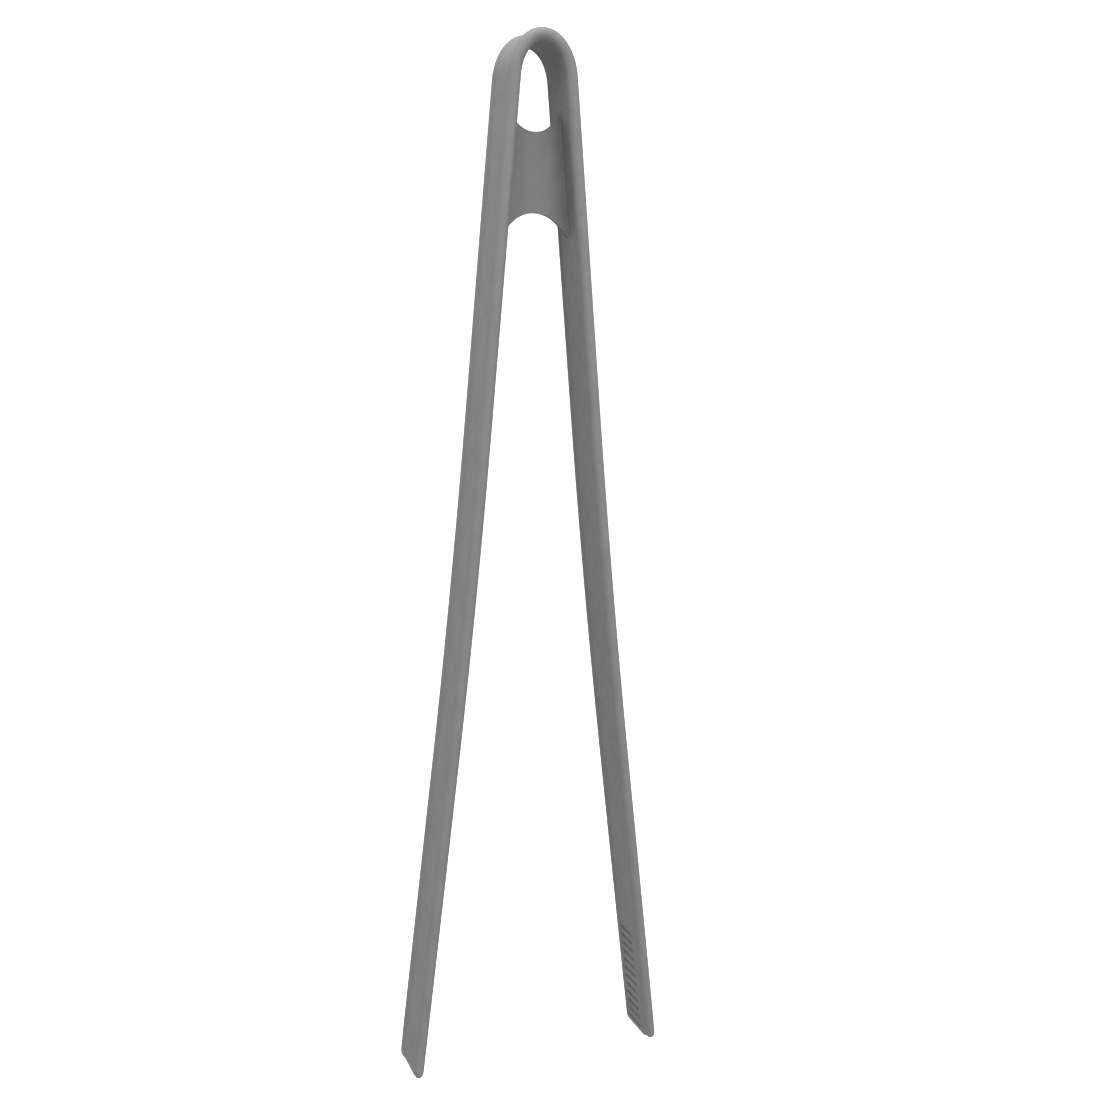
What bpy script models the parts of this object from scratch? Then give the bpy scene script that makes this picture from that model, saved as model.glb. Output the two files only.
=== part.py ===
"""Hairpin kitchen tongs: one spring steel strip inside one silicone moulding.

The tongs stand upright as they hang: the bow is at +Z, the arms run down and spread along X, and the
strip's width runs along Y. The origin is where a hook bears, under the middle of the bow. All sizes are
in metres. Each arm turns about a line along Y at the middle of its flex zone, just below the web.
"""

import math

import bmesh
import bpy
from mathutils import Vector

OBJECT_NAME = "hairpin_tongs"

# Whole object
LENGTH = 0.2900            # top of the bow to the end of the tips
BOW_HALF_WIDTH = 0.00802   # semi-axis of the centreline's half ellipse along X
BOW_HEIGHT = 0.01197       # semi-axis of the centreline's half ellipse along Z
SPLAY = 0.0861             # slope of a leg where it leaves the bow
FLARE_START = 0.102        # depth at which the legs start to curve outwards
FLARE_END = 0.201          # depth below which they are straight again
FLARE = 0.3226             # growth of the slope for each metre between the two

# Moulded section: a thin plate with a round bead along each edge
WIDTH_TOP, WIDTH_TIP = 0.0171, 0.0175
BEAD_TOP, BEAD_TIP = 0.00363, 0.0031
RECESS = 0.0005            # how far both faces lie below the beads
BEAD_SEGMENTS = 8          # along the outer half circle of a bead

# Spring steel strip and the pocket that it lies in
STEEL_WIDTH, STEEL_THICKNESS = 0.0100, 0.0008
CLEARANCE = 0.0003

# Depths below the top of the bow at which the strip is divided
HEAD_END = 0.058
FLEX_END = 0.094
GRIP_START = 0.240
STEEL_END = 0.254

# Web between the legs
WEB_THICKNESS = 0.0014
WEB_TOP_DEPTH, WEB_TOP_RADIUS = 0.01905, 0.0069
WEB_BOTTOM_DEPTH, WEB_BOTTOM_RADIUS = 0.0566, 0.0092
WEB_HORN_DEPTH, WEB_FOOT_DEPTH = 0.0230, 0.0504    # where the arcs end and run straight to the legs
WEB_SIDE_TOP, WEB_SIDE_BOTTOM = 0.0208, 0.0538     # where they reach the legs

# Grip grooves on the inner faces
GROOVE_COUNT = 12
GROOVE_PITCH = 0.00272
GROOVE_LENGTH = 0.0078
GROOVE_SHIFT = 0.0019      # of a groove's middle towards the back edge
GROOVE_WIDTH = 0.0012
GROOVE_DEPTH = 0.0005
LAST_GROOVE_FROM_END = 0.0010

# Tips: the outer face curves in over the last stretch, and the two edges are rounded at the very end
TIP_CURVE_LENGTH = 0.0100
TIP_CURVE_DEPTH = 0.00045
TIP_EDGE_ROUND = 0.00025
SIDE_ROUND = 0.0013
TIP_STEPS = (0.0100, 0.0074, 0.0050, 0.0030, 0.0018, 0.0012, 0.0008, 0.0005, 0.0002, 0.00005, 0.0)
LEVEL_RECESS = 0.00005     # what is left of the recess at the end
LEVELLING = 0.0006         # from the end to where the recess has its full depth

OVERRUN = 0.001            # how far a cutter runs past the face that it opens
SHARP_ANGLE = math.radians(35)
ARC_STEPS = 14
WEB_SIDE_STEPS = 4
BOW_STEPS = 14
LEG_STEP = 0.012
SIDES = {"left": -1, "right": 1}

TOP_Z = BEAD_TOP
BOW_END = math.atan2(BOW_HALF_WIDTH, BOW_HEIGHT * SPLAY)
BOW_CENTRE_DEPTH = BEAD_TOP / 2 + BOW_HEIGHT
LEG_START_DEPTH = BOW_CENTRE_DEPTH - BOW_HEIGHT * math.cos(BOW_END)
LEG_START_X = BOW_HALF_WIDTH * math.sin(BOW_END)
HINGE_DEPTH = (HEAD_END + FLEX_END) / 2

SILICONE = ("silicone", (0.205, 0.205, 0.208, 1.0), 0.55, 0.0)
STEEL = ("spring_steel", (0.62, 0.62, 0.64, 1.0), 0.30, 1.0)


def clear_scene():
    for obj in list(bpy.data.objects):
        bpy.data.objects.remove(obj, do_unlink=True)


def new_collection(name):
    collection = bpy.data.collections.new(name)
    bpy.context.scene.collection.children.link(collection)
    return collection


def material(obj_name, look):
    """A material of the object's own in one of the two looks."""
    look_name, colour, roughness, metallic = look
    mat = bpy.data.materials.new(f"{obj_name}_{look_name}")
    mat.use_nodes = True
    shader = mat.node_tree.nodes["Principled BSDF"]
    shader.inputs["Base Color"].default_value = colour
    shader.inputs["Roughness"].default_value = roughness
    shader.inputs["Metallic"].default_value = metallic
    return mat


# ---------------------------------------------------------------- centreline

class Station:
    """A place on the centreline: its point, the outward normal and the depth below the top."""

    def __init__(self, x, depth, tangent_x, tangent_z):
        size = math.hypot(tangent_x, tangent_z)
        self.depth = depth
        self.point = Vector((x, 0, TOP_Z - depth))
        self.normal = Vector((-tangent_z / size, 0, tangent_x / size))
        self.along = Vector((tangent_x / size, 0, tangent_z / size))

    def place(self, across, out):
        """The point this far along Y and this far outwards."""
        return self.point + self.normal * out + Vector((0, across, 0))


def flare(depth):
    """How far down the curved part of a leg this depth is."""
    return min(max(depth, FLARE_START), FLARE_END) - FLARE_START


def leg_x(depth):
    straight = max(depth - FLARE_END, 0)
    spread = FLARE * flare(depth) * (flare(depth) / 2 + straight)
    return LEG_START_X + SPLAY * (depth - LEG_START_DEPTH) + spread


def leg_station(side, depth):
    return Station(side * leg_x(depth), depth, SPLAY + FLARE * flare(depth), -side)


def bow_station(angle):
    """A station on the bow, by its angle from the top, positive to the right."""
    x = BOW_HALF_WIDTH * math.sin(angle)
    depth = BOW_CENTRE_DEPTH - BOW_HEIGHT * math.cos(angle)
    return Station(x, depth, BOW_HALF_WIDTH * math.cos(angle), -BOW_HEIGHT * math.sin(angle))


def leg_stations(side, start, end):
    steps = max(1, math.ceil(abs(end - start) / LEG_STEP))
    return [leg_station(side, start + (end - start) * i / steps) for i in range(steps + 1)]


def head_stations(end_depth):
    """Stations up the left leg, over the bow and down the right leg."""
    left = leg_stations(-1, end_depth, LEG_START_DEPTH)[:-1]
    right = leg_stations(1, LEG_START_DEPTH, end_depth)[1:]
    turns = [BOW_END * (i / BOW_STEPS - 1) for i in range(2 * BOW_STEPS + 1)]
    return left + [bow_station(angle) for angle in turns] + right


# ------------------------------------------------------------------ sections

def width(depth):
    return WIDTH_TOP + (WIDTH_TIP - WIDTH_TOP) * depth / LENGTH


def bead(depth):
    """Diameter of the beads: almost even at first, and thinner towards the tips."""
    return BEAD_TOP + (BEAD_TIP - BEAD_TOP) * (max(depth, 0) / LENGTH) ** 3


def bead_section(depth, recess=RECESS):
    """Outline of the moulded strip as (across, out) points: two beads joined by a recessed plate."""
    radius = bead(depth) / 2
    centre = width(depth) / 2 - radius
    sweep = math.pi - math.asin((radius - recess) / radius)
    half_circle = [math.pi * (i / BEAD_SEGMENTS - 1 / 2) for i in range(BEAD_SEGMENTS + 1)]
    turns = [-sweep, *half_circle, sweep]
    back = [(centre + radius * math.cos(a), radius * math.sin(a)) for a in turns]
    front = [(-across, -out) for across, out in back]
    return back + front


def rounded(section, depth, from_end):
    """The section near a tip, pulled in on its outer face and its two edges to round the end."""
    def pull(length, height):
        reach = max(1 - from_end / length, 0)
        return height * (1 - math.sqrt(1 - reach * reach))

    curved = pull(TIP_CURVE_LENGTH, TIP_CURVE_DEPTH) + pull(TIP_EDGE_ROUND, TIP_EDGE_ROUND)
    most_out = bead(depth) / 2 - curved
    most_across = width(depth) / 2 - pull(SIDE_ROUND, SIDE_ROUND)
    return [(max(-most_across, min(across, most_across)), min(out, most_out)) for across, out in section]


def flat_section(wide, thick):
    half_w, half_t = wide / 2, thick / 2
    return [(half_w, -half_t), (half_w, half_t), (-half_w, half_t), (-half_w, -half_t)]


# -------------------------------------------------------------------- solids

def add_object(name, mesh, collection, look=None, joint=None):
    """Links the mesh as an object whose origin is on its joint's axis, or at the frame's origin."""
    obj = bpy.data.objects.new(name, mesh)
    collection.objects.link(obj)
    if look:
        mesh.materials.append(material(name, look))
    if joint:
        mesh.transform(joint.matrix_world.inverted())
        obj.parent = joint
    return obj


def loft(name, rings):
    """A closed mesh through rings of points, with a flat cap at each end."""
    bm = bmesh.new()
    loops = [[bm.verts.new(point) for point in ring] for ring in rings]
    for low, high in zip(loops, loops[1:]):
        for i in range(len(low)):
            j = (i + 1) % len(low)
            bm.faces.new((low[i], low[j], high[j], high[i]))
    bm.faces.new(loops[0])
    bm.faces.new(reversed(loops[-1]))
    bmesh.ops.recalc_face_normals(bm, faces=bm.faces)
    mesh = bpy.data.meshes.new(name)
    bm.to_mesh(mesh)
    bm.free()
    mesh.shade_smooth()
    mesh.set_sharp_from_angle(angle=SHARP_ANGLE)
    return mesh


def sleeve_mesh(name, stations):
    return loft(name, [[s.place(*p) for p in bead_section(s.depth)] for s in stations])


def strip_mesh(name, stations, wide=STEEL_WIDTH, thick=STEEL_THICKNESS):
    return loft(name, [[s.place(*p) for p in flat_section(wide, thick)] for s in stations])


def cut(obj, mesh, cutters):
    """Takes the mesh away from the object with a Boolean whose cutter stays hidden."""
    cutter = bpy.data.objects.new(f"{obj.name}_cutter_{len(obj.modifiers)}", mesh)
    cutters.objects.link(cutter)
    cutter.parent = obj.parent
    if obj.parent:
        mesh.transform(obj.parent.matrix_world.inverted())
    cutter.hide_render = True
    cutter.display_type = "WIRE"
    boolean = obj.modifiers.new("cut", "BOOLEAN")
    boolean.operation = "DIFFERENCE"
    boolean.solver = "EXACT"
    boolean.object = cutter


def beyond(station, neighbour):
    """A copy of the station, moved a little way off from its neighbour."""
    moved = Station(station.point.x, station.depth, station.along.x, station.along.z)
    moved.point = station.point + (station.point - neighbour.point).normalized() * OVERRUN
    return moved


def pocket_mesh(name, stations, blind=False):
    """The space for the steel strip: it cuts through the first station, and the last unless blind."""
    wide = STEEL_WIDTH + 2 * CLEARANCE
    thick = STEEL_THICKNESS + 2 * CLEARANCE
    ends = [] if blind else [beyond(stations[-1], stations[-2])]
    reach = [beyond(stations[0], stations[1]), *stations, *ends]
    return strip_mesh(name, reach, wide, thick)


def joint_empty(side_name, side, collection):
    """An empty on the axis that one arm turns about."""
    joint = bpy.data.objects.new(f"{side_name}_arm_flex", None)
    collection.objects.link(joint)
    joint.location = (side * leg_x(HINGE_DEPTH), 0, TOP_Z - HINGE_DEPTH)
    bpy.context.view_layer.update()
    return joint


# --------------------------------------------------------------------- parts

def make_head(parts, cutters):
    stations = head_stations(HEAD_END)
    add_object("spring_bow", strip_mesh("spring_bow", stations), parts, STEEL)
    cover = add_object("bow_cover", sleeve_mesh("bow_cover", stations), parts, SILICONE)
    cut(cover, pocket_mesh("bow_pocket", stations), cutters)


def arc_points(centre_depth, radius, start, end):
    """Points on an arc about a centre on the middle line, by angle from +X."""
    turns = [start + (end - start) * i / ARC_STEPS for i in range(ARC_STEPS + 1)]
    return [(radius * math.cos(a), TOP_Z - centre_depth + radius * math.sin(a)) for a in turns]


def web_side(side, depth):
    """A point beside the recessed inner face of a leg."""
    inner = bead(depth) / 2 - RECESS + CLEARANCE
    point = leg_station(side, depth).place(0, -inner)
    return (point.x, point.z)


def make_web(parts):
    """A thin plate between the legs, with a concave arc for its top and its bottom edge."""
    horn = math.asin((WEB_HORN_DEPTH - WEB_TOP_DEPTH) / WEB_TOP_RADIUS)
    foot = math.asin((WEB_BOTTOM_DEPTH - WEB_FOOT_DEPTH) / WEB_BOTTOM_RADIUS)
    top = arc_points(WEB_TOP_DEPTH, WEB_TOP_RADIUS, -math.pi + horn, -horn)
    bottom = arc_points(WEB_BOTTOM_DEPTH, WEB_BOTTOM_RADIUS, foot, math.pi - foot)
    drop = (WEB_SIDE_BOTTOM - WEB_SIDE_TOP) / WEB_SIDE_STEPS
    depths = [WEB_SIDE_TOP + drop * i for i in range(WEB_SIDE_STEPS + 1)]
    right = [web_side(1, depth) for depth in depths]
    left = [web_side(-1, depth) for depth in reversed(depths)]
    outline = top + right + bottom + left
    curve = bpy.data.curves.new("web_outline", "CURVE")
    curve.dimensions = "2D"
    curve.fill_mode = "BOTH"
    curve.extrude = WEB_THICKNESS / 2
    spline = curve.splines.new("POLY")
    spline.points.add(len(outline) - 1)
    for point, (x, z) in zip(spline.points, outline):
        point.co = (x, z, 0, 1)
    spline.use_cyclic_u = True
    web = bpy.data.objects.new("web", curve)
    parts.objects.link(web)
    web.rotation_euler = (math.pi / 2, 0, 0)
    curve.materials.append(material("web", SILICONE))


def make_flex(name, side, parts, cutters):
    """The short lengths of strip and moulding that bend when an arm is squeezed."""
    stations = leg_stations(side, HEAD_END + CLEARANCE, FLEX_END - CLEARANCE)
    spring = strip_mesh(f"{name}_flex_spring", stations)
    add_object(f"{name}_flex_spring", spring, parts, STEEL)
    cover = add_object(f"{name}_flex_cover", sleeve_mesh(f"{name}_flex_cover", stations), parts, SILICONE)
    cut(cover, pocket_mesh(f"{name}_flex_pocket", stations), cutters)


def make_arm(name, side, joint, parts, cutters):
    blade_stations = leg_stations(side, FLEX_END, STEEL_END)
    blade = strip_mesh(f"{name}_blade", blade_stations)
    add_object(f"{name}_blade", blade, parts, STEEL, joint)
    stations = leg_stations(side, FLEX_END, GRIP_START)
    cover = sleeve_mesh(f"{name}_arm_cover", stations)
    cover = add_object(f"{name}_arm_cover", cover, parts, SILICONE, joint)
    cut(cover, pocket_mesh(f"{name}_arm_pocket", stations), cutters)


def grip_mesh(name, side):
    """The end of an arm's moulding: full section, then curved in and levelled towards the end."""
    stations = leg_stations(side, GRIP_START + CLEARANCE, LENGTH - TIP_STEPS[0])
    stations += [leg_station(side, LENGTH - from_end) for from_end in TIP_STEPS[1:]]
    rings = []
    for s in stations:
        from_end = LENGTH - s.depth
        share = min(from_end / LEVELLING, 1)
        section = bead_section(s.depth, LEVEL_RECESS + (RECESS - LEVEL_RECESS) * share)
        rings.append([s.place(*p) for p in rounded(section, s.depth, from_end)])
    return loft(name, rings)


def groove_cutter(name, side):
    """Bars across the inner face that leave the grip grooves."""
    bm = bmesh.new()
    for i in range(GROOVE_COUNT):
        depth = LENGTH - LAST_GROOVE_FROM_END - i * GROOVE_PITCH
        station = leg_station(side, depth)
        floor = bead(depth) / 2 - RECESS
        made = bmesh.ops.create_cube(bm, size=2)
        for vert in made["verts"]:
            along, across, out = vert.co
            offset = station.along * (along * GROOVE_WIDTH / 2)
            across = GROOVE_SHIFT + across * GROOVE_LENGTH / 2
            vert.co = station.place(across, -floor + out * GROOVE_DEPTH) + offset
    bmesh.ops.recalc_face_normals(bm, faces=bm.faces)
    mesh = bpy.data.meshes.new(name)
    bm.to_mesh(mesh)
    bm.free()
    return mesh


def make_grip(name, side, joint, parts, cutters):
    grip = add_object(f"{name}_grip_tip", grip_mesh(f"{name}_grip_tip", side), parts, SILICONE, joint)
    pocket = leg_stations(side, GRIP_START + CLEARANCE, STEEL_END + CLEARANCE)
    cut(grip, pocket_mesh(f"{name}_grip_pocket", pocket, blind=True), cutters)
    cut(grip, groove_cutter(f"{name}_grooves", side), cutters)


def build():
    clear_scene()
    parts = new_collection(OBJECT_NAME)
    cutters = new_collection("cutters")
    make_head(parts, cutters)
    make_web(parts)
    for name, side in SIDES.items():
        joint = joint_empty(name, side, parts)
        make_flex(name, side, parts, cutters)
        make_arm(name, side, joint, parts, cutters)
        make_grip(name, side, joint, parts, cutters)


build()
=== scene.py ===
"""Looks for the hairpin tongs: soft grey silicone over a spring strip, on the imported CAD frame."""

import math

import bmesh
import bpy
from mathutils import Matrix, Vector


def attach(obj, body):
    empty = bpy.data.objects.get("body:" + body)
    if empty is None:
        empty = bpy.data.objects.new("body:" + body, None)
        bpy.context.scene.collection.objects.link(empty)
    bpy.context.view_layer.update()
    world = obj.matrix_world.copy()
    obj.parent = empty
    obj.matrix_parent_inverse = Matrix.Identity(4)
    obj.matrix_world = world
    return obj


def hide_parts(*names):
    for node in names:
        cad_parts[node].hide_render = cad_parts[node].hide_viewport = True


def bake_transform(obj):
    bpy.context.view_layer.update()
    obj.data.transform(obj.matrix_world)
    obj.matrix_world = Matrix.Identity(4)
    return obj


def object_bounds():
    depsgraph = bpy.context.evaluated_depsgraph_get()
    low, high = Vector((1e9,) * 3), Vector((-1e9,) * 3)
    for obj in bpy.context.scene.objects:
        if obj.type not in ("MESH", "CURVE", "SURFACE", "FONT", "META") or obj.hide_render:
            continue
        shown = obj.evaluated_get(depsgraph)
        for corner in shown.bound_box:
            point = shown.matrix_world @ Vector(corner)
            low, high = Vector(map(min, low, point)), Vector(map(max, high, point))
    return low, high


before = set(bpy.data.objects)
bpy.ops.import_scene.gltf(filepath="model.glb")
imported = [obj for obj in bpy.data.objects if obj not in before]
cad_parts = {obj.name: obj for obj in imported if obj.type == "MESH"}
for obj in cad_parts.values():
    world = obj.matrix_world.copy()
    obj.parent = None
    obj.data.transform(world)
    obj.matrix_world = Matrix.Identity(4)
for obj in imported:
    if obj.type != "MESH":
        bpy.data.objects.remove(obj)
cad_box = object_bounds()

# ------------------------------------------------------------------ sizes, in metres

# Whole object, as in the CAD
LENGTH = 0.2900
BOW_HALF_WIDTH = 0.00802
BOW_HEIGHT = 0.01197
SPLAY = 0.0861
FLARE_START, FLARE_END = 0.102, 0.201
FLARE = 0.3226
WIDTH_TOP, WIDTH_TIP = 0.0171, 0.0175
BEAD_TOP, BEAD_TIP = 0.00363, 0.0031
TOP_Z = BEAD_TOP
INSET = 0.000002               # the beads lie this far inside the CAD's

BOW_END = math.atan2(BOW_HALF_WIDTH, BOW_HEIGHT * SPLAY)
BOW_CENTRE_DEPTH = BEAD_TOP / 2 + BOW_HEIGHT
LEG_START_DEPTH = BOW_CENTRE_DEPTH - BOW_HEIGHT * math.cos(BOW_END)
LEG_START_X = BOW_HALF_WIDTH * math.sin(BOW_END)

# Where the strip is divided
HEAD_END = 0.058
STEEL_END = 0.254

# Moulded section: beads along both edges of a recessed plate. The outer face is crisp on the bow and
# softer on the arms.
OUTER_RECESS, OUTER_RECESS_ARM = 0.0006, 0.00075
INNER_RECESS_HEAD, INNER_RECESS = 0.00015, 0.0005
CORNER_EXTRA = 0.0003          # how much wider than round the outer corner becomes on the arms
SOFT_REACH = 0.0019            # width of the gentle step from bead to plate on the arms
SOFTENING = (0.018, 0.095)     # depths between which both faces change from the bow's form to the arms'
CREASE = 0.00018               # radius of a crisp crease
UNDERSIDE_CREASE = 0.0016      # and of the crease under the bow
UNDERSIDE = (0.012, 0.050)     # depths between which the underside's crease sharpens

# Steel strip and its pocket
STEEL_WIDTH, STEEL_THICKNESS = 0.0100, 0.0008
CLEARANCE = 0.0003

# Web
WEB_THICKNESS = 0.0014
WEB_TOP_DEPTH, WEB_TOP_RADIUS = 0.01905, 0.0069
WEB_BOTTOM_DEPTH, WEB_BOTTOM_RADIUS = 0.0566, 0.0092
WEB_TOP_SLOPE, WEB_BOTTOM_SLOPE = 2.3, 1.1     # the arcs run on straight where they get this steep
WEB_FILLET = 0.00015
WEB_SINK = 0.00025

# Grip grooves and tips
GROOVE_COUNT = 12
GROOVE_PITCH = 0.00272
GROOVE_LENGTH = 0.0078
GROOVE_SHIFT = 0.0019
GROOVE_WIDTH = 0.0012
GROOVE_DEPTH = 0.0007
GROOVE_SOFT = 0.00010
LAST_GROOVE_FROM_END = 0.0010
TIP_CURVE_LENGTH, TIP_CURVE_DEPTH = 0.0100, 0.00045
TIP_EDGE_ROUND, SIDE_ROUND, INNER_ROUND = 0.00025, 0.0013, 0.00010
TIP_BLEND, TIP_BLEND_SHARE = 0.0003, 1 / 3     # how softly the curve starts, and over which share of it
DOME_LENGTH = 0.0017           # the front bead ends in a dome of this length,
DOME_END = 0.35                # with a flat end of this size, as a share of the bead
DOME_REACH = 0.0022            # from the bead's middle to where the plate is whole again
LEVEL_RECESS, LEVELLING = 0.00005, 0.0006      # the inner plate rises to this recess at the end

SIDES = {"left": -1, "right": 1}

# ------------------------------------------------------------------ centreline


class Station:
    """A place on the centreline: its point, its outward normal and its depth below the top."""

    def __init__(self, x, depth, tangent_x, tangent_z):
        size = math.hypot(tangent_x, tangent_z)
        self.depth = depth
        self.point = Vector((x, 0, TOP_Z - depth))
        self.normal = Vector((-tangent_z / size, 0, tangent_x / size))

    def place(self, across, out):
        return self.point + self.normal * out + Vector((0, across, 0))


def flare(depth):
    """How far down the curved part of a leg this depth is."""
    return min(max(depth, FLARE_START), FLARE_END) - FLARE_START


def leg_x(depth):
    straight = max(depth - FLARE_END, 0)
    spread = FLARE * flare(depth) * (flare(depth) / 2 + straight)
    return LEG_START_X + SPLAY * (depth - LEG_START_DEPTH) + spread


def leg_station(side, depth):
    return Station(side * leg_x(depth), depth, SPLAY + FLARE * flare(depth), -side)


def bow_station(angle):
    x = BOW_HALF_WIDTH * math.sin(angle)
    depth = BOW_CENTRE_DEPTH - BOW_HEIGHT * math.cos(angle)
    return Station(x, depth, BOW_HALF_WIDTH * math.cos(angle), -BOW_HEIGHT * math.sin(angle))


def spaced(start, end, step):
    """Numbers from start to end, evenly spaced by about the step."""
    count = max(1, round(abs(end - start) / step))
    return [start + (end - start) * i / count for i in range(count + 1)]


BOW_CLOSER = 2                 # how many times closer the stations are on the bow than on the legs


def head_stations(step):
    """Stations from the left leg's division, over the bow, to the right leg's."""
    left = [leg_station(-1, d) for d in spaced(HEAD_END, LEG_START_DEPTH, step)[:-1]]
    bow = [bow_station(a) for a in spaced(-BOW_END, BOW_END, step / BOW_HEIGHT / BOW_CLOSER)]
    right = [leg_station(1, d) for d in spaced(LEG_START_DEPTH, HEAD_END, step)[1:]]
    return left + bow + right


# ------------------------------------------------------------------ sections

QUADRANT_STEPS = 11
SLOPE_ARC, SLOPE_FILLET = 4, 5
OUTER_FLOOR = (0.92, 0.75, 0.5, 0.25)
# Shares of the inner plate's half width at which it has points, closer where the grooves end
INNER_FLOOR = (-0.97, -0.9, -0.75, -0.6, -0.5, -0.44, -0.40, -0.37, -0.34, -0.31, -0.28, -0.24, -0.15,
               0.0, 0.15, 0.3, 0.45, 0.6, 0.75, 0.87, 0.93, 0.97)


def smooth(value):
    value = min(max(value, 0.0), 1.0)
    return value * value * (3 - 2 * value)


def width_at(depth):
    return WIDTH_TOP + (WIDTH_TIP - WIDTH_TOP) * depth / LENGTH - 2 * INSET


def bead_at(depth):
    """Diameter of the beads: almost even at first, and thinner towards the tips."""
    return BEAD_TOP + (BEAD_TIP - BEAD_TOP) * (max(depth, 0) / LENGTH) ** 3 - 2 * INSET


def between(low, high, share):
    return low + (high - low) * share


def edge_profile(bead, corner, recess, fillet, soft):
    """One face of a bead, from the strip's edge to its plate, as (in from the edge, up) points.

    The crease to the plate is a fillet where soft is 0, and one long gentle step where it is 1.
    """
    points = []
    for i in range(QUADRANT_STEPS):
        turn = math.pi / 2 * i / (QUADRANT_STEPS - 1)
        points.append((corner * (1 - math.cos(turn)), bead * math.sin(turn)))
    rise = bead - recess + fillet
    reach = math.sqrt((bead + fillet) ** 2 - rise**2)
    meet = math.acos(rise / (bead + fillet))
    crisp = []
    for i in range(1, SLOPE_ARC + 1):
        turn = meet * i / SLOPE_ARC
        crisp.append((bead * math.sin(turn), bead * math.cos(turn)))
    for i in range(1, SLOPE_FILLET + 1):
        turn = meet * (1 - i / SLOPE_FILLET)
        crisp.append((reach - fillet * math.sin(turn), rise - fillet * math.cos(turn)))
    for i, (along, up) in enumerate(crisp, 1):
        share = i / len(crisp)
        along = between(along, SOFT_REACH * share, soft)
        up = between(up, bead - recess * smooth(share), soft)
        points.append((corner + along, up))
    return points


def inner_recess_at(depth):
    """How far the inner face lies below the beads: less on the bow than on the arms."""
    share = smooth((depth - SOFTENING[0]) / (SOFTENING[1] - SOFTENING[0]))
    return between(INNER_RECESS_HEAD, INNER_RECESS, share)


def section(depth, inner_recess=None):
    """Outline of the moulding as (across, out) points: a bead along each edge of a recessed plate."""
    inner_recess = inner_recess_at(depth) if inner_recess is None else inner_recess
    bead = bead_at(depth) / 2
    half_width = width_at(depth) / 2
    soft = smooth((depth - SOFTENING[0]) / (SOFTENING[1] - SOFTENING[0]))
    sharp = smooth((depth - UNDERSIDE[0]) / (UNDERSIDE[1] - UNDERSIDE[0]))
    outer = edge_profile(
        bead, bead + CORNER_EXTRA * soft, between(OUTER_RECESS, OUTER_RECESS_ARM, soft), CREASE, soft)
    inner = edge_profile(bead, bead, inner_recess, between(UNDERSIDE_CREASE, CREASE, sharp), 0)
    outer_edge, outer_level = half_width - outer[-1][0], outer[-1][1]
    inner_edge, inner_level = half_width - inner[-1][0], inner[-1][1]
    outer_floor = [(outer_edge * s, outer_level) for s in OUTER_FLOOR]
    return (
        [(half_width - along, -up) for along, up in reversed(inner)]
        + [(half_width - along, up) for along, up in outer[1:]]
        + outer_floor
        + [(0.0, outer_level)]
        + [(-across, out) for across, out in reversed(outer_floor)]
        + [(along - half_width, up) for along, up in reversed(outer)]
        + [(along - half_width, -up) for along, up in inner[1:]]
        + [(inner_edge * s, -inner_level) for s in INNER_FLOOR]
    )


def groove_depth(depth, across):
    """How far the inner face is cut away here by the grip grooves."""
    nearest = round((LENGTH - LAST_GROOVE_FROM_END - depth) / GROOVE_PITCH)
    nearest = min(max(nearest, 0), GROOVE_COUNT - 1)
    offset = abs(LENGTH - LAST_GROOVE_FROM_END - nearest * GROOVE_PITCH - depth)
    along = smooth((GROOVE_WIDTH / 2 + GROOVE_SOFT - offset) / (2 * GROOVE_SOFT))
    offset = abs(across - GROOVE_SHIFT)
    sideways = smooth((GROOVE_LENGTH / 2 + GROOVE_SOFT - offset) / (2 * GROOVE_SOFT))
    return GROOVE_DEPTH * along * sideways


def pull(from_end, length, height):
    """How far a quarter ellipse of this length and height draws an edge in, this far from the end."""
    reach = max(1 - from_end / length, 0)
    return height * (1 - math.sqrt(1 - reach * reach))


def soft_min(a, b, blend):
    """The smaller of two numbers, with a rounded change from one to the other."""
    near = max(blend - abs(a - b), 0) / blend
    return min(a, b) - near * near * blend / 4


def dome(across, out, centre, scale):
    """A point of the front bead's rounded end, for a bead about this centre shrunk to this scale."""
    share = smooth((centre + DOME_REACH - across) / DOME_REACH)
    across = centre + (across - centre) * scale if across < centre else across
    return across, out * between(1, scale, share)


def tip_section(depth):
    """The section of an arm with its grooves, curved in and levelled towards the end."""
    from_end = LENGTH - depth
    bead = bead_at(depth) / 2
    half_width = width_at(depth) / 2
    recess = between(LEVEL_RECESS, inner_recess_at(depth), smooth(from_end / LEVELLING))
    most_out = bead - pull(from_end, TIP_CURVE_LENGTH, TIP_CURVE_DEPTH)
    most_out -= pull(from_end, TIP_EDGE_ROUND, TIP_EDGE_ROUND)
    most_in = bead - pull(from_end, INNER_ROUND, INNER_ROUND)
    narrowing = (half_width - pull(from_end, SIDE_ROUND, SIDE_ROUND)) / half_width
    blend = TIP_BLEND * smooth((1 - from_end / TIP_CURVE_LENGTH) / TIP_BLEND_SHARE)
    domed = max(1 - from_end / DOME_LENGTH, 0) * math.sqrt(1 - DOME_END**2)
    points = []
    for across, out in section(depth, recess):
        if out > 0 and blend > 0:
            out = soft_min(out, most_out, blend)
        elif out < 0:
            out = max(out, -most_in)
            if abs(across) < half_width - bead:
                out += groove_depth(depth, across)
        if across > 0:
            across *= narrowing
        points.append(dome(across, out, bead - half_width, math.sqrt(1 - domed**2)))
    return points


def flat_section(width, thickness):
    half_w, half_t = width / 2, thickness / 2
    return [(half_w, -half_t), (half_w, half_t), (-half_w, half_t), (-half_w, -half_t)]


# ------------------------------------------------------------------ meshes


SHARP_ANGLE, WEB_SHARP_ANGLE = 40, 60          # in degrees


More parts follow.
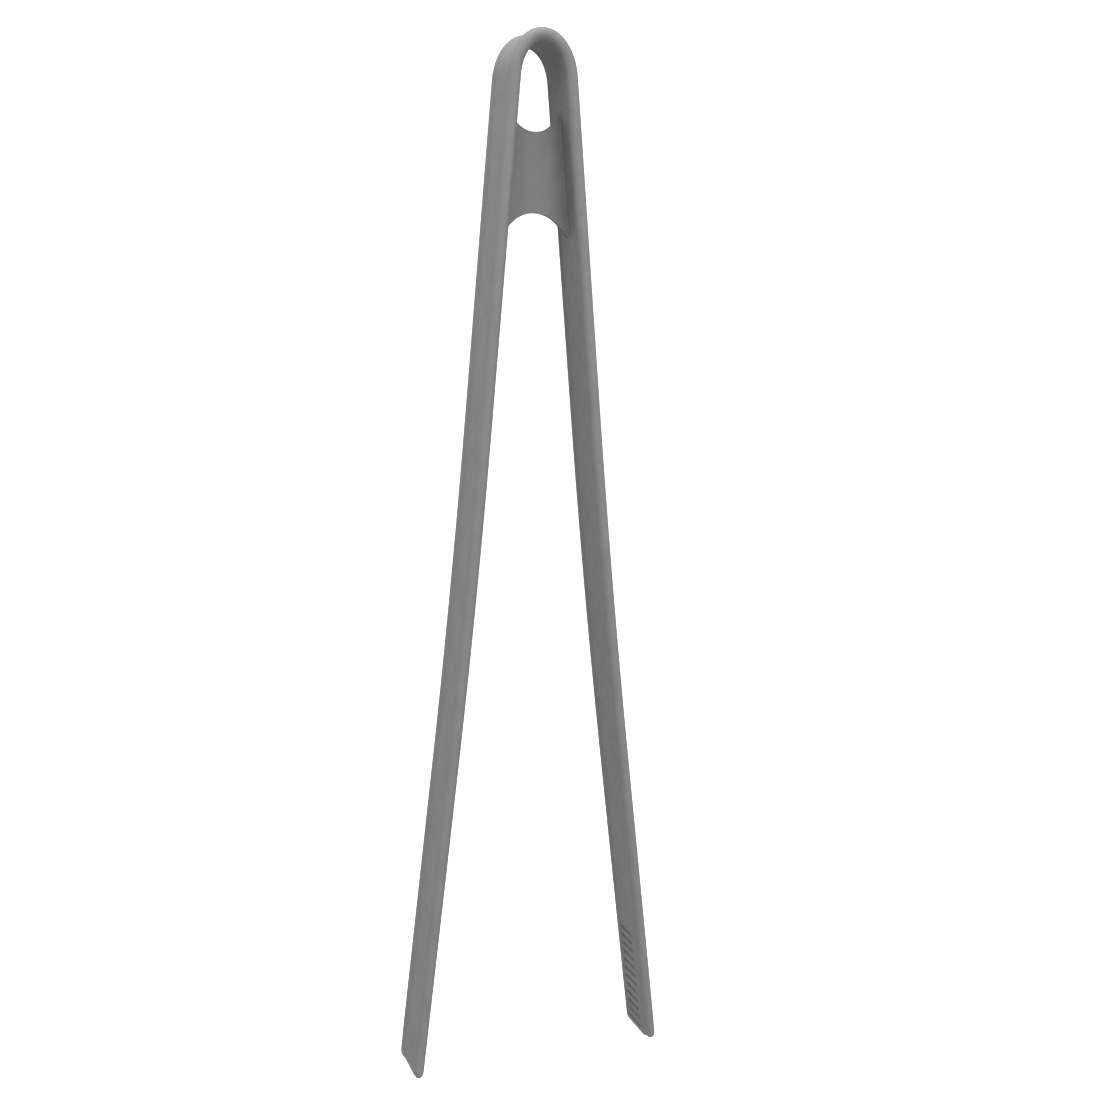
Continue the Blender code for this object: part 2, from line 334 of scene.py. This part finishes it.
def loft(name, rings, sharp_angle=SHARP_ANGLE):
    """A closed, smooth-shaded object through rings of points, with a flat cap at each end."""
    bm = bmesh.new()
    loops = [[bm.verts.new(point) for point in ring] for ring in rings]
    for low, high in zip(loops, loops[1:]):
        for i in range(len(low)):
            j = (i + 1) % len(low)
            bm.faces.new((low[i], low[j], high[j], high[i]))
    bm.faces.new(loops[0])
    bm.faces.new(reversed(loops[-1]))
    bmesh.ops.recalc_face_normals(bm, faces=bm.faces)
    mesh = bpy.data.meshes.new(name)
    bm.to_mesh(mesh)
    bm.free()
    mesh.shade_smooth()
    mesh.set_sharp_from_angle(angle=math.radians(sharp_angle))
    obj = bpy.data.objects.new(name, mesh)
    bpy.context.scene.collection.objects.link(obj)
    return obj


def strip(name, stations, width, thickness):
    return loft(name, [[s.place(*p) for p in flat_section(width, thickness)] for s in stations])


def hollow(obj, stations, open_ends):
    """Cuts the pocket for the steel strip into the moulding, through its named open ends."""
    reach = list(stations)
    for end, neighbour in ((0, 1), (-1, -2)):
        if end in open_ends:
            past = Station(0, reach[end].depth, reach[end].normal.z, -reach[end].normal.x)
            past.point = reach[end].point * 2 - reach[neighbour].point
            reach.insert(0, past) if end == 0 else reach.append(past)
    width, thickness = STEEL_WIDTH + 2 * CLEARANCE, STEEL_THICKNESS + 2 * CLEARANCE
    cutter = strip(obj.name + "_pocket", reach, width, thickness)
    boolean = obj.modifiers.new("pocket", "BOOLEAN")
    boolean.operation = "DIFFERENCE"
    boolean.solver = "EXACT"
    boolean.object = cutter
    bpy.context.view_layer.update()
    evaluated = obj.evaluated_get(bpy.context.evaluated_depsgraph_get())
    made = bpy.data.meshes.new_from_object(evaluated)
    obj.modifiers.clear()
    obj.data = made
    bpy.data.objects.remove(cutter, do_unlink=True)


# ------------------------------------------------------------------ materials


def nodes_of(name):
    mat = bpy.data.materials.new(name)
    mat.use_nodes = True
    return mat, mat.node_tree.nodes, mat.node_tree.links


def noise(nodes, links, coords, scale, detail, roughness=0.5):
    node = nodes.new("ShaderNodeTexNoise")
    node.inputs["Scale"].default_value = scale
    node.inputs["Detail"].default_value = detail
    node.inputs["Roughness"].default_value = roughness
    links.new(coords, node.inputs["Vector"])
    return node.outputs["Fac"]


def ramp(nodes, links, fac, stops):
    node = nodes.new("ShaderNodeValToRGB")
    for stop, (position, value) in zip(node.color_ramp.elements, stops):
        stop.position = position
        stop.color = (*value, 1.0) if isinstance(value, tuple) else (value, value, value, 1.0)
    links.new(fac, node.inputs["Fac"])
    return node.outputs["Color"]


def bump(nodes, links, height, strength, distance, normal=None):
    node = nodes.new("ShaderNodeBump")
    node.inputs["Strength"].default_value = strength
    node.inputs["Distance"].default_value = distance
    links.new(height, node.inputs["Height"])
    if normal:
        links.new(normal, node.inputs["Normal"])
    return node.outputs["Normal"]


def silicone_material():
    """Matte grey silicone: faint mottling, a fine moulded grain and a slightly uneven surface."""
    mat, nodes, links = nodes_of("matte_grey_silicone")
    shader = nodes["Principled BSDF"]
    coords = nodes.new("ShaderNodeTexCoord").outputs["Object"]
    mottle = noise(nodes, links, coords, 160, 3)
    colour = ramp(nodes, links, mottle, [(0.3, (0.192, 0.190, 0.189)), (0.7, (0.208, 0.206, 0.205))])
    links.new(colour, shader.inputs["Base Color"])
    patches = noise(nodes, links, coords, 420, 2)
    links.new(ramp(nodes, links, patches, [(0.3, 0.52), (0.7, 0.62)]), shader.inputs["Roughness"])
    waves = bump(nodes, links, noise(nodes, links, coords, 130, 1), 0.05, 0.0005)
    grain = bump(nodes, links, noise(nodes, links, coords, 6000, 2), 0.10, 0.00005, waves)
    links.new(grain, shader.inputs["Normal"])
    shader.inputs["Specular IOR Level"].default_value = 0.39
    return mat


def steel_material():
    """Rolled spring steel: a satin metal with fine lines along the strip."""
    mat, nodes, links = nodes_of("rolled_spring_steel")
    shader = nodes["Principled BSDF"]
    coords = nodes.new("ShaderNodeTexCoord").outputs["Object"]
    mapping = nodes.new("ShaderNodeMapping")
    mapping.inputs["Scale"].default_value = (1.0, 40.0, 1.0)
    links.new(coords, mapping.inputs["Vector"])
    lines = noise(nodes, links, mapping.outputs["Vector"], 90, 4)
    links.new(ramp(nodes, links, lines, [(0.3, 0.56), (0.7, 0.66)]), shader.inputs["Base Color"])
    links.new(ramp(nodes, links, lines, [(0.3, 0.26), (0.7, 0.38)]), shader.inputs["Roughness"])
    links.new(bump(nodes, links, lines, 0.15, 0.00005), shader.inputs["Normal"])
    shader.inputs["Metallic"].default_value = 1.0
    return mat


SILICONE = silicone_material()
STEEL = steel_material()


def finish_piece(obj, mat, replaced):
    obj.data.materials.clear()
    obj.data.materials.append(mat)
    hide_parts(*replaced)


# ------------------------------------------------------------------ pieces

HEAD_STEP = 0.0012
ARM_STEP = 0.003
STEEL_STEP = 0.004
CLOSEST_RINGS = 0.00001
# Distances from a groove's middle at which the arm has rings
GROOVE_RINGS = (0.0, 0.00025, 0.00044, 0.00050, 0.00055, 0.00060, 0.00065, 0.00070, 0.00076, 0.00095)
# Lengths of the shapes at the end of an arm, and the number of ring spaces that each takes
END_RINGS = ((DOME_LENGTH, 9), (SIDE_ROUND, 9), (TIP_EDGE_ROUND, 6), (LEVELLING, 4))
WEB_COLUMNS = 60               # ring spaces from leg to leg
WEB_ROWS, WEB_EDGE_STEPS = 40, 6               # spaces down the web's face, and round its edges
WEB_EDGE_SHARE = 0.7           # radius of the web's edges, as a share of half its thickness
SOLVER_ROUNDS = 30


def make_head_skin():
    stations = head_stations(HEAD_STEP)
    skin = loft("bow_skin", [[s.place(*p) for p in section(s.depth)] for s in stations])
    hollow(skin, stations, (0, -1))
    finish_piece(skin, SILICONE, ["bow_cover"])
    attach(skin, "head")


def arm_depths():
    """Depths of an arm's rings: even along the arm, close at the grooves and at the rounded end."""
    close = []
    for i in range(GROOVE_COUNT):
        middle = LENGTH - LAST_GROOVE_FROM_END - i * GROOVE_PITCH
        close += [middle + sign * offset for offset in GROOVE_RINGS for sign in (-1, 1)]
    for size, steps in END_RINGS:
        close += [LENGTH - size * (1 - math.sin(math.pi / 2 * i / steps)) for i in range(steps + 1)]
    first = min(close)
    depths = spaced(HEAD_END, first - GROOVE_PITCH / 2, ARM_STEP)
    for depth in sorted(close):
        if depth - depths[-1] > CLOSEST_RINGS and depth <= LENGTH:
            depths.append(depth)
    return depths


def make_arm_skin(name, side):
    depths = arm_depths()
    rings = [[leg_station(side, d).place(*p) for p in tip_section(d)] for d in depths]
    skin = loft(f"{name}_arm_skin", rings)
    pocket = [leg_station(side, d) for d in spaced(HEAD_END, STEEL_END + CLEARANCE, STEEL_STEP)]
    hollow(skin, pocket, (0,))
    replaced = [f"{name}_flex_cover", f"{name}_arm_cover", f"{name}_grip_tip"]
    finish_piece(skin, SILICONE, replaced)
    bend_with(skin)


def bend_with(obj):
    """Bakes the piece's placement into its mesh."""
    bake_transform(obj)


def make_steel():
    bow = strip("spring_strip_bow", head_stations(STEEL_STEP), STEEL_WIDTH, STEEL_THICKNESS)
    finish_piece(bow, STEEL, ["spring_bow"])
    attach(bow, "head")
    for name, side in SIDES.items():
        stations = [leg_station(side, d) for d in spaced(HEAD_END, STEEL_END, STEEL_STEP)]
        blade = strip(f"{name}_spring_strip", stations, STEEL_WIDTH, STEEL_THICKNESS)
        finish_piece(blade, STEEL, [f"{name}_flex_spring", f"{name}_blade"])
        bend_with(blade)


def arc_depth(centre_depth, radius, steepest, share, lower):
    """Depth at which an edge of the web crosses this share of the gap between the legs."""
    depth = centre_depth
    straight_from = radius * math.sin(math.atan(steepest))
    for _ in range(SOLVER_ROUNDS):
        x = abs(share) * web_reach(depth)
        arc_x = min(x, straight_from)
        height = math.sqrt(radius * radius - arc_x * arc_x) - steepest * (x - arc_x)
        depth = centre_depth + (height if lower else -height)
    return depth


def web_reach(depth):
    """Half the gap between the plates of the two legs, and a little more so that the web joins them."""
    inner = bead_at(depth) / 2 - inner_recess_at(depth) - WEB_SINK
    return leg_x(depth) - inner


def web_ring(share):
    """A closed section of the web at this share of the gap, rounded along its top and bottom edges."""
    top = arc_depth(WEB_TOP_DEPTH, WEB_TOP_RADIUS, WEB_TOP_SLOPE, share, True)
    bottom = arc_depth(WEB_BOTTOM_DEPTH, WEB_BOTTOM_RADIUS, WEB_BOTTOM_SLOPE, share, False)
    radius = WEB_THICKNESS / 2 * WEB_EDGE_SHARE
    ring = []

    def half_thickness(depth):
        """Half the web's thickness here, with a fillet where it meets the leg."""
        gap = max(web_reach(depth) * (1 - abs(share)) - WEB_SINK, 0)
        near = max(WEB_FILLET - gap, 0)
        return WEB_THICKNESS / 2 + WEB_FILLET - math.sqrt(WEB_FILLET**2 - near**2)

    def add(depth, across):
        ring.append(Vector((share * web_reach(depth), across, TOP_Z - depth)))

    def add_edge(end, toward, step, sign):
        """One point of a rounded edge: step counts from its middle line to the face."""
        turn = math.pi / 2 * step / WEB_EDGE_STEPS
        depth = end + toward * radius * (1 - math.sin(turn))
        add(depth, sign * (half_thickness(depth) - radius * (1 - math.cos(math.pi / 2 - turn))))

    for sign in (1, -1):
        start, stop = (top, bottom) if sign > 0 else (bottom, top)
        toward = 1 if stop > start else -1
        for i in range(WEB_EDGE_STEPS):
            add_edge(start, toward, i, sign)
        for i in range(1, WEB_ROWS):
            depth = start + toward * (radius + (abs(stop - start) - 2 * radius) * i / WEB_ROWS)
            add(depth, sign * half_thickness(depth))
        for i in range(WEB_EDGE_STEPS, 0, -1):
            add_edge(stop, -toward, i, sign)
    return ring


def make_web():
    turns = [math.pi / 2 * (2 * i / WEB_COLUMNS - 1) for i in range(WEB_COLUMNS + 1)]
    web = loft("web_plate", [web_ring(math.sin(a)) for a in turns], WEB_SHARP_ANGLE)
    finish_piece(web, SILICONE, ["web"])
    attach(web, "head")


# ------------------------------------------------------------------ stage, light and camera

TIP_Z = cad_box[0][2]
FLOOR_DROP = 0.30
STUDIO_RADIUS = 4.0
WORLD_STRENGTH = 0.60
CAMERA_YAW, CAMERA_PITCH, CAMERA_ROLL = (math.radians(a) for a in (20.08, 9.715, 0.42))
CAMERA_DISTANCE = 0.4189
CAMERA_TARGET = Vector((0.0054, 0, TOP_Z - 0.14025))
CAMERA_LENS, CAMERA_SENSOR = 48.45, 36.0


def make_backdrop():
    """A white studio: a flat floor below the tips and a dome over it.

    It neither lights nor shades the tongs.
    """
    bm = bmesh.new()
    bmesh.ops.create_uvsphere(bm, u_segments=48, v_segments=24, radius=STUDIO_RADIUS)
    for vert in bm.verts:
        vert.co.z = max(vert.co.z, 0)
    mesh = bpy.data.meshes.new("backdrop")
    bm.to_mesh(mesh)
    bm.free()
    backdrop = bpy.data.objects.new("backdrop", mesh)
    backdrop.location.z = TIP_Z - FLOOR_DROP
    backdrop.visible_diffuse = backdrop.visible_glossy = backdrop.visible_shadow = False
    bpy.context.scene.collection.objects.link(backdrop)
    mat, nodes, _ = nodes_of("white_backdrop")
    shader = nodes["Principled BSDF"]
    shader.inputs["Base Color"].default_value = (0.9, 0.9, 0.9, 1)
    shader.inputs["Roughness"].default_value = 0.8
    shader.inputs["Emission Color"].default_value = (1, 1, 1, 1)
    shader.inputs["Emission Strength"].default_value = 1.0
    mesh.materials.append(mat)


def soft_light(name, place, size, power):
    """A panel turned towards the tongs, placed by azimuth, elevation and distance from their middle.

    Azimuth 0 is in front of the tongs, and 90 is to their right.
    """
    azimuth, elevation, distance = place
    middle = Vector((0, 0, TOP_Z - LENGTH / 2))
    turn, rise = math.radians(azimuth), math.radians(elevation)
    toward = Vector((math.sin(turn) * math.cos(rise), -math.cos(turn) * math.cos(rise), math.sin(rise)))
    light = bpy.data.lights.new(name, "AREA")
    light.shape = "RECTANGLE"
    light.size, light.size_y = size
    light.energy = power
    obj = bpy.data.objects.new(name, light)
    obj.location = middle + toward * distance
    obj.rotation_euler = toward.to_track_quat("Z", "Y").to_euler()
    obj.visible_camera = False
    bpy.context.scene.collection.objects.link(obj)


def make_lights():
    world = bpy.data.worlds.new("studio")
    world.use_nodes = True
    background = world.node_tree.nodes["Background"]
    background.inputs["Color"].default_value = (1, 1, 1, 1)
    background.inputs["Strength"].default_value = WORLD_STRENGTH
    bpy.context.scene.world = world
    soft_light("top_light", (0, 76, 1.3), (0.8, 0.8), 13.5)
    soft_light("left_light", (-55, 50, 1.3), (0.8, 0.8), 6.0)
    soft_light("back_light", (-150, 45, 1.3), (0.8, 0.8), 2.8)
    soft_light("front_light", (30, 10, 1.3), (1.2, 0.8), 5.2)


def make_camera():
    data = bpy.data.cameras.new("camera")
    data.sensor_width = CAMERA_SENSOR
    data.lens = CAMERA_LENS
    data.clip_start = 0.01
    camera = bpy.data.objects.new("camera", data)
    bpy.context.scene.collection.objects.link(camera)
    turn = Matrix.Rotation(-CAMERA_YAW, 4, "Z")
    turn @= Matrix.Rotation(math.pi / 2 - CAMERA_PITCH, 4, "X")
    turn @= Matrix.Rotation(CAMERA_ROLL, 4, "Z")
    back = Matrix.Translation((0, 0, CAMERA_DISTANCE))
    camera.matrix_world = Matrix.Translation(CAMERA_TARGET) @ turn @ back
    bpy.context.scene.camera = camera


bpy.context.scene.view_settings.view_transform = "Standard"
make_head_skin()
make_web()
make_steel()
for arm_name, arm_side in SIDES.items():
    make_arm_skin(arm_name, arm_side)
make_backdrop()
make_lights()
make_camera()
